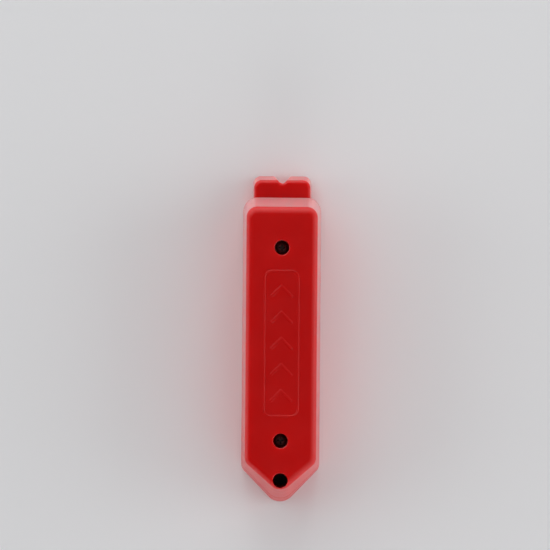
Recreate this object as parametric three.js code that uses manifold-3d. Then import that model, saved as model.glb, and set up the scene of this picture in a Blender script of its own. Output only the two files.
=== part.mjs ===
// Magnetic stud finder and nail starter: a drafted two-part plastic body around two block magnets.
//
// Millimetres, +Z up. The flat wall face lies on z = 0 and the front face looks along +Z. +Y runs from the
// pointed nose to the V-notched ledge, and +X is to the right as seen from the front. The origin is the
// centre of the footprint on the wall.

import * as THREE from 'three';
import { mergeVertices } from 'three/addons/utils/BufferGeometryUtils.js';
import Module from 'manifold-3d';

const wasm = await Module();
wasm.setup();

// ---------------------------------------------------------------- driving dimensions

// Envelope
const LENGTH = 101.6;
const WIDTH = 24.4;
const HEIGHT = 25.4;
const RELIEF = 0.1; // height of the raised marking above the front face
const FACE_Z = HEIGHT - RELIEF;
const SPLIT_Z = 7.0; // parting plane, level with the top of the ledge

// Walls and clearances
const WALL = 2.2;
const FLOOR = 1.6;
const RIB = 1.2;
const GAP = 0.3; // clearance between neighbouring pieces
const OVERRUN = 1.0; // how far a cutter runs past the surface it opens
const ROOT = 0.5; // how far a feature is sunk into the wall that carries it

// Body outline
const SIDE_DRAFT = THREE.MathUtils.degToRad(3);
const END_DRAFT = THREE.MathUtils.degToRad(10.6); // lean of the end wall above the parting plane
const END_WALL_Y = 43.95; // end wall at and below the parting plane
const NOSE_ANGLE = 46.3; // degrees between a nose wall and the X axis, at the wall face
const NOSE_ANGLE_TAPER = 0.21; // loss of that angle per millimetre of height
const NOSE_RADIUS = 5.0;
const NOSE_TAPER = 0.04; // loss of nose radius per millimetre of height
const NOSE_SETBACK = 0.252; // movement of the nose point per millimetre of height
const SHOULDER_RADIUS = 3.2;
const CORNER_RADIUS = 4.4;
const CORNER_TAPER = 0.044;
const EDGE_RADIUS = 1.9; // rounding around the front face
const MIN_RADIUS = 0.1;

// Ledge
const LEDGE_HALF_WIDTH = 9.1;
const LEDGE_ROOT_Y = 43.0;
const LEDGE_CORNER_RADIUS = 2.4;
const LEDGE_EDGE_RADIUS = 0.9;
const LEDGE_DRAFT = THREE.MathUtils.degToRad(13);
const NOTCH_HALF_MOUTH = 2.4;
const NOTCH_HALF_ANGLE = THREE.MathUtils.degToRad(36);
const NOTCH_RADIUS = 1.3;
const NOTCH_LIP_RADIUS = 0.9;

// Tongue of the cover inside the rim of the housing
const TONGUE_HEIGHT = 2.5;
const TONGUE_INSET = 1.3;

// Hanging hole through the nose
const HANG_Y = -43.0;
const HANG_RADIUS = 2.3;
const HANG_TUBE_RADIUS = 3.7;

// Screws, their towers in the housing and their bosses in the cover
const SCREW_YS = { upper_screw: 28.3, lower_screw: -30.8 };
const COUNTERBORE_RADIUS = 2.25;
const COUNTERBORE_CHAMFER = 0.3;
const TOWER_RADIUS = 3.9;
const BOSS_RADIUS = 3.4;
const BOSS_TOP_Z = 8.0;
const SEAT_Z = 18.8;
const SHANK_HOLE_RADIUS = 1.65;
const PILOT_RADIUS = 1.6;
const PILOT_FLOOR_Z = 2.9;
const HEAD_RADIUS = 1.95;
const HEAD_RIM = 0.7;
const HEAD_HEIGHT = 1.8;
const SHANK_RADIUS = 1.0;
const THREAD_RADIUS = 1.3;
const THREAD_PITCH = 1.25;
const THREAD_TURNS = 7;
const TIP_LENGTH = 1.0;
const RECESS_LENGTH = 2.2;
const RECESS_WIDTH = 0.55;
const RECESS_DEPTH = 1.0;

// Magnets, steel keepers and the foam pad
const FINDER_SIZE = new THREE.Vector3(16, 9, 3.2);
const FINDER_Y = 36.7;
const NAIL_SIZE = new THREE.Vector3(15, 3.2, 7);
const NAIL_FRONT_Y = 40.6;
const KEEPER_THICKNESS = 1.0;
const PAD_SIZE = new THREE.Vector3(12, 2.9, 2.6);
const MAGNET_EDGE = 0.3;

// Raised marking between the screw holes: a plain frame around five chevrons
const MARK_Y = -1.0;
const MARK_WIDTH = 11.0;
const MARK_LENGTH = 45.0;
const MARK_RADIUS = 2.5;
const MARK_LINE = 0.6;
const CHEVRON_COUNT = 5;
const CHEVRON_PITCH = 8.0;
const CHEVRON_HALF_WIDTH = 3.0;
const CHEVRON_LINE = 1.1;

// Stiffening ribs, shared by both shells
const RIB_YS = [-15, 0, 15];
const CEILING_RIB_DEPTH = 3.5;
const FLOOR_RIB_DEPTH = 2.0;

// Facets
const NOSE_STEPS = 8;
const SHOULDER_STEPS = 3;
const CORNER_STEPS = 5;
const EDGE_STEPS = 3;
const ROUND_STEPS = 24;
const SCREW_STEPS = 16;
const THREAD_STEPS = 4;

// Heights that follow from the dimensions above
const HOUSING_RIM_Z = SPLIT_Z + GAP;
const CEILING_Z = FACE_Z - WALL;
const REBATE_TOP_Z = SPLIT_Z + TONGUE_HEIGHT + GAP;
const FINDER_Z = FLOOR + GAP;
const FINDER_KEEPER_Z = FINDER_Z + FINDER_SIZE.z + GAP;
const NAIL_Z = FINDER_KEEPER_Z + KEEPER_THICKNESS + GAP;
const NAIL_BACK_Y = NAIL_FRONT_Y - NAIL_SIZE.y;
const NAIL_KEEPER_BACK_Y = NAIL_BACK_Y - GAP - KEEPER_THICKNESS;
const PAD_Z = NAIL_Z + NAIL_SIZE.z + GAP;

// ---------------------------------------------------------------- outlines

/** Points along an arc about (x, y), between two angles in degrees. */
function arc(x, y, radius, from, to, steps) {
  const start = THREE.MathUtils.degToRad(from);
  const end = THREE.MathUtils.degToRad(to);
  return new THREE.EllipseCurve(x, y, radius, radius, start, end, to < from).getPoints(steps);
}

/** Body outline at height z, moved inwards by inset: a pointed nose, straight sides and a flat end. */
function bodyOutline(z, inset = 0) {
  const halfWidth = WIDTH / 2 - z * Math.tan(SIDE_DRAFT) - inset;
  const endY = END_WALL_Y - Math.max(z - SPLIT_Z, 0) * Math.tan(END_DRAFT) - inset;
  const noseRadius = Math.max(NOSE_RADIUS - z * NOSE_TAPER - inset, MIN_RADIUS);
  const cornerRadius = Math.max(CORNER_RADIUS - z * CORNER_TAPER - inset, MIN_RADIUS);
  const shoulderRadius = Math.max(SHOULDER_RADIUS - inset, MIN_RADIUS);
  const noseAngle = NOSE_ANGLE - z * NOSE_ANGLE_TAPER;
  const slope = Math.tan(THREE.MathUtils.degToRad(noseAngle));
  const stretch = 1 / Math.cos(THREE.MathUtils.degToRad(noseAngle));
  const baseStretch = 1 / Math.cos(THREE.MathUtils.degToRad(NOSE_ANGLE));
  const basePointY = -LENGTH / 2 - NOSE_RADIUS * (baseStretch - 1);
  const pointY = basePointY + z * NOSE_SETBACK + inset * stretch;
  const shoulderX = halfWidth - shoulderRadius;
  const shoulderY = pointY + shoulderX * slope + shoulderRadius * stretch;
  const cornerX = halfWidth - cornerRadius;
  const cornerY = endY - cornerRadius;
  return [
    ...arc(0, pointY + noseRadius * stretch, noseRadius, 270 - noseAngle, 270 + noseAngle, NOSE_STEPS),
    ...arc(shoulderX, shoulderY, shoulderRadius, noseAngle - 90, 0, SHOULDER_STEPS),
    ...arc(cornerX, cornerY, cornerRadius, 0, 90, CORNER_STEPS),
    ...arc(-cornerX, cornerY, cornerRadius, 90, 180, CORNER_STEPS),
    ...arc(-shoulderX, shoulderY, shoulderRadius, 180, 270 - noseAngle, SHOULDER_STEPS),
  ];
}

/**
 * Ledge outline at height z, moved inwards by inset. The end wall leans, and the notch is upright, so the
 * straight flanks of the notch get shorter with height until its round bottom meets the round lips.
 */
function ledgeOutline(z, inset = 0) {
  const sin = Math.sin(NOTCH_HALF_ANGLE);
  const cos = Math.cos(NOTCH_HALF_ANGLE);
  const setback = z * Math.tan(LEDGE_DRAFT) + inset;
  const halfWidth = LEDGE_HALF_WIDTH - z * Math.tan(SIDE_DRAFT) - inset;
  const endY = LENGTH / 2 - setback;
  const mouth = NOTCH_HALF_MOUTH - setback * (sin / cos) + inset / cos;
  const lipRadius = Math.max(NOTCH_LIP_RADIUS - inset, MIN_RADIUS);
  const notchRadius = NOTCH_RADIUS + inset;
  const cornerRadius = LEDGE_CORNER_RADIUS - inset;
  const cornerX = halfWidth - cornerRadius;
  const cornerY = endY - cornerRadius;
  const lipY = endY - lipRadius;
  const notchY = endY + (notchRadius - mouth * cos) / sin;
  const rise = lipY - notchY;
  let lipX = mouth + (lipRadius * (1 - sin)) / cos;
  let tangent = -THREE.MathUtils.radToDeg(NOTCH_HALF_ANGLE);
  const flankLength = lipX * sin + rise * cos;
  if (flankLength < 0) {
    lipX = Math.sqrt((lipRadius + notchRadius) ** 2 - rise ** 2);
    tangent = THREE.MathUtils.radToDeg(Math.atan2(rise, lipX));
  }
  return [
    new THREE.Vector2(halfWidth, LEDGE_ROOT_Y),
    ...arc(cornerX, cornerY, cornerRadius, 0, 90, CORNER_STEPS),
    ...arc(lipX, lipY, lipRadius, 90, 180 + tangent, SHOULDER_STEPS),
    ...arc(0, notchY, notchRadius, tangent, -180 - tangent, CORNER_STEPS),
    ...arc(-lipX, lipY, lipRadius, -tangent, 90, SHOULDER_STEPS),
    ...arc(-cornerX, cornerY, cornerRadius, 90, 180, CORNER_STEPS),
    new THREE.Vector2(-halfWidth, LEDGE_ROOT_Y),
  ];
}

// ---------------------------------------------------------------- solids

/** A closed geometry as a solid that can be joined and cut. */
function solidOf(geometry) {
  geometry.deleteAttribute('normal');
  geometry.deleteAttribute('uv');
  const merged = mergeVertices(geometry);
  return new wasm.Manifold(new wasm.Mesh({
    numProp: 3,
    vertProperties: new Float32Array(merged.attributes.position.array),
    triVerts: new Uint32Array(merged.index.array),
  }));
}

/** Skin over a stack of outlines with equal point counts, from bottom to top, as a solid. */
function loft(levels) {
  const count = levels[0].outline.length;
  const positions = levels.flatMap(({ z, outline }) => outline.flatMap((p) => [p.x, p.y, z]));
  const cap = THREE.ShapeUtils.triangulateShape(levels[0].outline, []);
  const top = (levels.length - 1) * count;
  const index = [];
  for (let level = 0; level < levels.length - 1; level += 1) {
    for (let i = 0; i < count; i += 1) {
      const a = level * count + i;
      const b = level * count + ((i + 1) % count);
      index.push(a, b, b + count, a, b + count, a + count);
    }
  }
  for (const [a, b, c] of cap) {
    index.push(a, c, b, top + a, top + b, top + c);
  }
  const geometry = new THREE.BufferGeometry();
  geometry.setAttribute('position', new THREE.Float32BufferAttribute(positions, 3));
  geometry.setIndex(index);
  return solidOf(geometry);
}

/** Loft of an outline function between two heights, at one inset, with a break at the parting plane. */
function prism(outline, z0, z1, inset = 0) {
  const heights = z0 < SPLIT_Z && z1 > SPLIT_Z ? [z0, SPLIT_Z, z1] : [z0, z1];
  return loft(heights.map((z) => ({ z, outline: outline(z, inset) })));
}

/** Loft of an outline function whose upper edge is rounded. */
function roundedPrism(outline, z0, z1, radius) {
  const levels = [{ z: z0, outline: outline(z0) }];
  for (let i = 0; i <= EDGE_STEPS; i += 1) {
    const angle = (i / EDGE_STEPS) * (Math.PI / 2);
    const z = z1 - radius + radius * Math.sin(angle);
    levels.push({ z, outline: outline(z, radius * (1 - Math.cos(angle))) });
  }
  return loft(levels);
}

/** Box between two corners. */
function block(x0, x1, y0, y1, z0, z1) {
  const geometry = new THREE.BoxGeometry(x1 - x0, y1 - y0, z1 - z0);
  geometry.translate((x0 + x1) / 2, (y0 + y1) / 2, (z0 + z1) / 2);
  return solidOf(geometry);
}

/** Upright cylinder or cone on the centre plane at y. */
function post(y, radius, z0, z1, topRadius = radius) {
  const geometry = new THREE.CylinderGeometry(topRadius, radius, z1 - z0, ROUND_STEPS);
  geometry.rotateX(Math.PI / 2);
  geometry.translate(0, y, (z0 + z1) / 2);
  return solidOf(geometry);
}

/** Flat shape extruded upwards from z0. */
function plate(shape, z0, height) {
  const geometry = new THREE.ExtrudeGeometry(shape, {
    depth: height,
    bevelEnabled: false,
    curveSegments: CORNER_STEPS,
  });
  geometry.translate(0, 0, z0);
  return solidOf(geometry);
}

function union(solids) {
  return solids.reduce((sum, solid) => sum.add(solid));
}

/** The same solid on both sides of the centre plane. */
function mirrored(x0, x1, y0, y1, z0, z1) {
  return block(x0, x1, y0, y1, z0, z1).add(block(-x1, -x0, y0, y1, z0, z1));
}

// ---------------------------------------------------------------- front housing

/** Counterbored tower for one screw, without its bore. */
function screwTower(y) {
  return post(y, TOWER_RADIUS, BOSS_TOP_Z + GAP, FACE_Z - ROOT);
}

/** Everything that a screw needs removed from the housing. */
function screwBore(y) {
  const mouthRadius = COUNTERBORE_RADIUS + COUNTERBORE_CHAMFER;
  return union([
    post(y, COUNTERBORE_RADIUS, SEAT_Z, FACE_Z + OVERRUN),
    post(y, SHANK_HOLE_RADIUS, HOUSING_RIM_Z, SEAT_Z + GAP),
    post(y, COUNTERBORE_RADIUS, FACE_Z - COUNTERBORE_CHAMFER, FACE_Z, mouthRadius),
  ]);
}

/** Grid of ribs under the front face. */
function ceilingRibs() {
  const z0 = CEILING_Z - CEILING_RIB_DEPTH;
  const z1 = CEILING_Z + ROOT;
  const across = RIB_YS.map((y) => block(-WIDTH / 2, WIDTH / 2, y - RIB / 2, y + RIB / 2, z0, z1));
  const along = block(-RIB / 2, RIB / 2, SCREW_YS.lower_screw, SCREW_YS.upper_screw, z0, z1);
  const gussets = Object.values(SCREW_YS).map((y) => (
    block(-WIDTH / 2, WIDTH / 2, y - RIB / 2, y + RIB / 2, SEAT_Z - RIB, z1)
  ));
  return union([...across, along, ...gussets]);
}

/** Ribs that guide the nail magnet and its keeper, and stop them from lifting. */
function nailPocket() {
  const inner = NAIL_SIZE.x / 2 + GAP;
  const outer = inner + RIB;
  const backY = NAIL_KEEPER_BACK_Y - GAP;
  const top = CEILING_Z + ROOT;
  const stopX = NAIL_SIZE.x / 4;
  return union([
    mirrored(inner, outer, backY, NAIL_FRONT_Y, HOUSING_RIM_Z, top),
    mirrored(inner, outer, backY, END_WALL_Y, REBATE_TOP_Z, top),
    mirrored(stopX, outer, backY - RIB, backY, HOUSING_RIM_Z, top),
    mirrored(stopX, stopX + RIB, backY, END_WALL_Y, PAD_Z + PAD_SIZE.z + GAP, top),
  ]);
}

/** Room for the nail magnet where its pocket runs into the end wall. */
function nailRelief() {
  const halfWidth = NAIL_SIZE.x / 2 + GAP;
  return block(-halfWidth, halfWidth, NAIL_BACK_Y, NAIL_FRONT_Y + GAP, HOUSING_RIM_Z, PAD_Z);
}

/** Rounded rectangle around the marking, moved inwards by inset. */
function markRectangle(inset) {
  const halfWidth = MARK_WIDTH / 2 - inset;
  const halfLength = MARK_LENGTH / 2 - inset;
  const radius = MARK_RADIUS - inset;
  const shape = new THREE.Shape();
  shape.absarc(halfWidth - radius, MARK_Y - halfLength + radius, radius, -Math.PI / 2, 0);
  shape.absarc(halfWidth - radius, MARK_Y + halfLength - radius, radius, 0, Math.PI / 2);
  shape.absarc(radius - halfWidth, MARK_Y + halfLength - radius, radius, Math.PI / 2, Math.PI);
  shape.absarc(radius - halfWidth, MARK_Y - halfLength + radius, radius, Math.PI, Math.PI * 1.5);
  return shape;
}

/** Chevron whose point is at y and looks along +Y. */
function chevron(y) {
  const drop = CHEVRON_LINE * Math.SQRT2;
  const w = CHEVRON_HALF_WIDTH;
  return new THREE.Shape([
    new THREE.Vector2(0, y),
    new THREE.Vector2(-w, y - w),
    new THREE.Vector2(-w, y - w - drop),
    new THREE.Vector2(0, y - drop),
    new THREE.Vector2(w, y - w - drop),
    new THREE.Vector2(w, y - w),
  ]);
}

/** Raised generic marking: a thin frame with chevrons that point at the notch. */
function marking() {
  const frame = markRectangle(0);
  frame.holes.push(markRectangle(MARK_LINE));
  const firstY = MARK_Y + (CHEVRON_HALF_WIDTH + CHEVRON_LINE) / 2 - (CHEVRON_PITCH * (CHEVRON_COUNT - 1)) / 2;
  const shapes = [frame];
  for (let i = 0; i < CHEVRON_COUNT; i += 1) {
    shapes.push(chevron(firstY + i * CHEVRON_PITCH));
  }
  return union(shapes.map((shape) => plate(shape, FACE_Z - ROOT, ROOT + RELIEF)));
}

function frontHousing() {
  const outer = roundedPrism(bodyOutline, HOUSING_RIM_Z, FACE_Z, EDGE_RADIUS);
  const cavity = prism(bodyOutline, HOUSING_RIM_Z - OVERRUN, CEILING_Z, WALL);
  const rebate = prism(bodyOutline, HOUSING_RIM_Z - OVERRUN, REBATE_TOP_Z, TONGUE_INSET - GAP);
  const hangTube = post(HANG_Y, HANG_TUBE_RADIUS, REBATE_TOP_Z, FACE_Z);
  const towers = Object.values(SCREW_YS).map(screwTower);
  const inside = union([...towers, hangTube, ceilingRibs(), nailPocket()]).intersect(outer);
  const bores = Object.values(SCREW_YS).map(screwBore);
  const hangBore = post(HANG_Y, HANG_RADIUS, 0, HEIGHT + OVERRUN);
  return outer
    .subtract(cavity)
    .subtract(rebate)
    .add(inside)
    .subtract(union([...bores, hangBore, nailRelief()]))
    .add(marking());
}

// ---------------------------------------------------------------- back cover

/** Frame of ribs on the floor around the finder magnet. */
function finderPocket() {
  const inner = FINDER_SIZE.x / 2 + GAP;
  const y0 = FINDER_Y - FINDER_SIZE.y / 2 - GAP;
  const y1 = FINDER_Y + FINDER_SIZE.y / 2 + GAP;
  const top = FINDER_KEEPER_Z + KEEPER_THICKNESS / 2;
  return union([
    mirrored(inner, inner + RIB, y0, y1, FLOOR - ROOT, top),
    block(-inner - RIB, inner + RIB, y0 - RIB, y0, FLOOR - ROOT, top),
  ]);
}

/** Grid of ribs on the floor of the tray. */
function floorRibs() {
  const z0 = FLOOR - ROOT;
  const z1 = FLOOR + FLOOR_RIB_DEPTH;
  const across = RIB_YS.map((y) => block(-WIDTH / 2, WIDTH / 2, y - RIB / 2, y + RIB / 2, z0, z1));
  const along = block(-RIB / 2, RIB / 2, SCREW_YS.lower_screw, SCREW_YS.upper_screw, z0, z1);
  return union([...across, along]);
}

function backCover() {
  const outer = prism(bodyOutline, 0, SPLIT_Z);
  const ledge = roundedPrism(ledgeOutline, 0, SPLIT_Z, LEDGE_EDGE_RADIUS);
  const tray = prism(bodyOutline, FLOOR, SPLIT_Z + OVERRUN, WALL);
  const tongueTop = SPLIT_Z + TONGUE_HEIGHT;
  const tongue = prism(bodyOutline, SPLIT_Z - ROOT, tongueTop, TONGUE_INSET)
    .subtract(prism(bodyOutline, SPLIT_Z - OVERRUN, tongueTop + OVERRUN, WALL));
  const ys = Object.values(SCREW_YS);
  const bosses = ys.map((y) => post(y, BOSS_RADIUS, FLOOR - ROOT, BOSS_TOP_Z));
  const pilots = ys.map((y) => post(y, PILOT_RADIUS, PILOT_FLOOR_Z, BOSS_TOP_Z + OVERRUN));
  const hangTube = post(HANG_Y, HANG_TUBE_RADIUS, 0, REBATE_TOP_Z - GAP);
  const envelope = prism(bodyOutline, 0, REBATE_TOP_Z, TONGUE_INSET);
  const inside = union([...bosses, hangTube, floorRibs(), finderPocket()]).intersect(envelope);
  const hangBore = post(HANG_Y, HANG_RADIUS, -OVERRUN, REBATE_TOP_Z);
  return outer
    .add(ledge)
    .subtract(tray)
    .add(tongue)
    .add(inside)
    .subtract(union([...pilots, hangBore]));
}

// ---------------------------------------------------------------- magnets, keepers and pad

/** Block with chamfered upright edges, standing on z = 0. */
function chamferedBlock(size) {
  const x = size.x / 2;
  const y = size.y / 2;
  const c = MAGNET_EDGE;
  const shape = new THREE.Shape([
    new THREE.Vector2(x - c, -y),
    new THREE.Vector2(x, c - y),
    new THREE.Vector2(x, y - c),
    new THREE.Vector2(x - c, y),
    new THREE.Vector2(c - x, y),
    new THREE.Vector2(-x, y - c),
    new THREE.Vector2(-x, c - y),
    new THREE.Vector2(c - x, -y),
  ]);
  return plate(shape, 0, size.z);
}

// ---------------------------------------------------------------- screw

/** Height of the thread above its root at one angle and height: a helical ridge that fades at both ends. */
function threadRidge(angle, z) {
  const turns = z / THREAD_PITCH;
  const phase = THREE.MathUtils.euclideanModulo(turns - angle / (2 * Math.PI), 1);
  const wave = 1 - Math.abs(2 * phase - 1);
  const fade = Math.min(1, turns, THREAD_TURNS - turns);
  return (THREAD_RADIUS - SHANK_RADIUS) * wave * Math.max(fade, 0);
}

/** Pan-head self-tapping screw with its point down and the start of its thread at z = 0. */
function screw() {
  const headZ = SEAT_Z + GAP - (PILOT_FLOOR_Z + GAP + TIP_LENGTH);
  const profile = [new THREE.Vector2(0, -TIP_LENGTH)];
  for (let i = 0; i <= THREAD_TURNS * THREAD_STEPS; i += 1) {
    profile.push(new THREE.Vector2(SHANK_RADIUS, (i / THREAD_STEPS) * THREAD_PITCH));
  }
  profile.push(new THREE.Vector2(SHANK_RADIUS, headZ));
  profile.push(new THREE.Vector2(HEAD_RADIUS, headZ));
  profile.push(new THREE.Vector2(HEAD_RADIUS, headZ + HEAD_RIM));
  profile.push(new THREE.Vector2(HEAD_RADIUS * 0.75, headZ + HEAD_HEIGHT * 0.85));
  profile.push(new THREE.Vector2(0, headZ + HEAD_HEIGHT));
  const geometry = new THREE.LatheGeometry(profile, SCREW_STEPS);
  geometry.rotateX(Math.PI / 2);
  const position = geometry.attributes.position;
  for (let i = 0; i < position.count; i += 1) {
    const x = position.getX(i);
    const y = position.getY(i);
    const radius = Math.hypot(x, y);
    const ridge = radius > 0 ? threadRidge(Math.atan2(y, x), position.getZ(i)) : 0;
    const scale = radius > 0 ? (radius + ridge) / radius : 1;
    position.setXY(i, x * scale, y * scale);
  }
  const top = headZ + HEAD_HEIGHT;
  const recess = [[RECESS_LENGTH, RECESS_WIDTH], [RECESS_WIDTH, RECESS_LENGTH]].map(([x, y]) => (
    block(-x / 2, x / 2, -y / 2, y / 2, top - RECESS_DEPTH, top + OVERRUN)
  ));
  return solidOf(geometry).subtract(union(recess));
}

// ---------------------------------------------------------------- assembly

const redPlastic = { color: 0xb01512, roughness: 0.35, metalness: 0.0 };
const nickel = { color: 0xc2c3c4, roughness: 0.18, metalness: 1.0 };
const zincSteel = { color: 0x9a9d9f, roughness: 0.4, metalness: 1.0 };
const blackFoam = { color: 0x1d1d1e, roughness: 0.95, metalness: 0.0 };
const blackScrew = { color: 0x141415, roughness: 0.35, metalness: 0.6 };

/** Named mesh from a solid, in a group when it is given one. */
function piece(name, solid, finish, parent, position = [0, 0, 0]) {
  const mesh = solid.getMesh();
  const geometry = new THREE.BufferGeometry();
  geometry.setAttribute('position', new THREE.BufferAttribute(mesh.vertProperties, 3));
  geometry.setIndex(new THREE.BufferAttribute(mesh.triVerts, 1));
  geometry.computeVertexNormals();
  const object = new THREE.Mesh(geometry, new THREE.MeshStandardMaterial(finish));
  object.name = name;
  object.position.set(...position);
  parent.add(object);
}

/** Magnets, keepers and pad, stacked from the floor of the tray upwards. */
function magnetStack() {
  const stack = new THREE.Group();
  const finderKeeper = FINDER_SIZE.clone().setZ(KEEPER_THICKNESS);
  const nailKeeper = NAIL_SIZE.clone().setY(KEEPER_THICKNESS);
  const nailY = NAIL_FRONT_Y - NAIL_SIZE.y / 2;
  const keeperY = NAIL_KEEPER_BACK_Y + KEEPER_THICKNESS / 2;
  const padY = NAIL_KEEPER_BACK_Y + PAD_SIZE.y / 2;
  piece('finder_magnet', chamferedBlock(FINDER_SIZE), nickel, stack, [0, FINDER_Y, FINDER_Z]);
  piece('finder_keeper', chamferedBlock(finderKeeper), zincSteel, stack, [0, FINDER_Y, FINDER_KEEPER_Z]);
  piece('nail_magnet', chamferedBlock(NAIL_SIZE), nickel, stack, [0, nailY, NAIL_Z]);
  piece('nail_keeper', chamferedBlock(nailKeeper), zincSteel, stack, [0, keeperY, NAIL_Z]);
  piece('magnet_pad', chamferedBlock(PAD_SIZE), blackFoam, stack, [0, padY, PAD_Z]);
  return stack;
}

/** Both screws, point down in their bosses. */
function screws() {
  const pair = new THREE.Group();
  const threadZ = PILOT_FLOOR_Z + GAP + TIP_LENGTH;
  for (const [name, y] of Object.entries(SCREW_YS)) {
    piece(name, screw(), blackScrew, pair, [0, y, threadZ]);
  }
  return pair;
}

const studFinder = new THREE.Group();
piece('front_housing', frontHousing(), redPlastic, studFinder);
piece('back_cover', backCover(), redPlastic, studFinder);
studFinder.add(magnetStack());
studFinder.add(screws());

export default studFinder;
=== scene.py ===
"""Magnetic stud finder and nail starter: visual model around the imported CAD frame.

Shapes are worked out in millimetres in the CAD's own axes and written to the meshes in metres. The flat wall
face lies on z = 0, the front face looks along +Z, and +Y runs from the pointed nose to the V-notched ledge.
"""

import math

import bmesh
import bpy
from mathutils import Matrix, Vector, noise

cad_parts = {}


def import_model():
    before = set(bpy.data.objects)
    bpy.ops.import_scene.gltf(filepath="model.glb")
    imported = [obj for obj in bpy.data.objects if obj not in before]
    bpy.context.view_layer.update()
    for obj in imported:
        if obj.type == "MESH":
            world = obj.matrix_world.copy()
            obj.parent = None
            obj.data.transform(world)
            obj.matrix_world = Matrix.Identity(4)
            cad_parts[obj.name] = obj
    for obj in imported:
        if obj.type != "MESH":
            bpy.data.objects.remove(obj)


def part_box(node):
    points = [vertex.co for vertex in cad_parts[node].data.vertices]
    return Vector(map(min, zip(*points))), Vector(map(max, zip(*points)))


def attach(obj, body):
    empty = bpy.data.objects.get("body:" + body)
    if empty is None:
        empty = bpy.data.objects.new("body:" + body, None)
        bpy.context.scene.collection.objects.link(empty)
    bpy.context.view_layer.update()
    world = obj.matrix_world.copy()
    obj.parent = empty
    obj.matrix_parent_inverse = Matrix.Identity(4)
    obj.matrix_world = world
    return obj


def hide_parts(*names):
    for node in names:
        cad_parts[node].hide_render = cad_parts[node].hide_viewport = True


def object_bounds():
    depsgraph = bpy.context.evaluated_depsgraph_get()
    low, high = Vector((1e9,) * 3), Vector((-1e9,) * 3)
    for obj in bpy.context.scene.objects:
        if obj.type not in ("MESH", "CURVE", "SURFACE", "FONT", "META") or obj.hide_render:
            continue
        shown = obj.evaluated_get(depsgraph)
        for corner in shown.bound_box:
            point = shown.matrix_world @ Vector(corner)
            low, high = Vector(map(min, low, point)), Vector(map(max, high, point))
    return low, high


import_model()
cad_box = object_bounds()

# ------------------------------------------------------------------ sizes from the frame, in millimetres

MM = 0.001


def box_mm(node):
    """Lowest and highest corner of a CAD node, in millimetres."""
    lo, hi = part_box(node)
    return lo / MM, hi / MM


HOUSING_HI = box_mm("front_housing")[1]
COVER_LO, COVER_HI = box_mm("back_cover")
FINDER_LO, FINDER_HI = box_mm("finder_magnet")
NAIL_LO, NAIL_HI = box_mm("nail_magnet")
FINDER_KEEPER_LO, FINDER_KEEPER_HI = box_mm("finder_keeper")
NAIL_KEEPER_LO = box_mm("nail_keeper")[0]
PAD_LO, PAD_HI = box_mm("magnet_pad")
SCREW_BOXES = {name: box_mm(name) for name in ("upper_screw", "lower_screw")}

WIDTH = COVER_HI.x - COVER_LO.x
TONGUE_TOP_Z = COVER_HI.z
SCREW_YS = [(lo.y + hi.y) / 2 for lo, hi in SCREW_BOXES.values()]
HEAD_TOP_Z = SCREW_BOXES["upper_screw"][1].z
SCREW_TIP_Z = SCREW_BOXES["upper_screw"][0].z
HEAD_RADIUS = (SCREW_BOXES["upper_screw"][1].x - SCREW_BOXES["upper_screw"][0].x) / 2

# ------------------------------------------------------------------ driving dimensions, in millimetres

# Height of the raised marking, the step at its foot, and the share of a line's half width over which it rises
RELIEF = 0.1
RELIEF_STEP = 0.01
CREST_SHARE = 0.92

# Front face, parting plane, and the gaps left at the parting line and under the screw heads
FACE_Z = HOUSING_HI.z - RELIEF
SPLIT_Z = 7.0
SEAM = 0.12
CONTACT = 0.05

# Thickness of walls and ribs, and the clearance round magnets and tongue
WALL = 2.2
FLOOR = 1.6
RIB = 1.2
GAP = 0.3

# How far a rib or a raised line reaches into the wall it grows from, and a cutter past the surface it opens
ROOT = 0.5
OVERRUN = 1.0

# Body outline. The nose angle is in degrees, between a nose wall and the X axis. Tapers and the nose's
# setback are per millimetre of height.
SIDE_DRAFT = math.radians(3)
END_DRAFT = math.radians(10.6)
END_WALL_Y = 43.95
NOSE_ANGLE = 46.3
NOSE_ANGLE_TAPER = 0.21
NOSE_RADIUS = 5.0
NOSE_TAPER = 0.04
NOSE_SETBACK = 0.252
SHOULDER_RADIUS = 3.2
CORNER_RADIUS = 4.4
CORNER_TAPER = 0.044
EDGE_RADIUS = 1.9
RIM_RADIUS = 0.25
FOOT_RADIUS = 0.5
MIN_RADIUS = 0.05

# Ledge and notch
LEDGE_HALF_WIDTH = 9.1
LEDGE_ROOT_Y = 43.0
LEDGE_CORNER_RADIUS = 2.4
LEDGE_EDGE_RADIUS = 0.9
LEDGE_DRAFT = math.radians(13)
NOTCH_HALF_MOUTH = 2.4
NOTCH_HALF_ANGLE = math.radians(36)
NOTCH_RADIUS = 1.3
NOTCH_LIP_RADIUS = 0.9

# Inside of the shells
TONGUE_INSET = 1.3
TONGUE_LEAD = 0.4
CEILING_Z = FACE_Z - WALL
REBATE_TOP_Z = TONGUE_TOP_Z + GAP
INSIDE_RADIUS = 0.9
RIB_RADIUS = 0.3
RIB_YS = (-15.0, 0.0, 15.0)
CEILING_RIB_DEPTH = 3.5
FLOOR_RIB_DEPTH = 2.0
EJECTOR_RADIUS = 1.6
EJECTOR_DEPTH = 0.15
EJECTOR_YS = (-22.5, -7.5, 7.5, 22.5)
EJECTOR_X = 5.2

# Hanging hole, screw towers and bosses
HANG_Y = -43.0
HANG_RADIUS = 2.3
HANG_TUBE_RADIUS = 3.7
HOLE_LIP = 0.3
BORE_RADIUS = 2.25
TOWER_RADIUS = 3.9
BOSS_RADIUS = 3.4
BOSS_TOP_Z = 8.0
SHANK_HOLE_RADIUS = 1.65
PILOT_RADIUS = 1.6
PILOT_FLOOR_Z = 2.9

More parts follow.
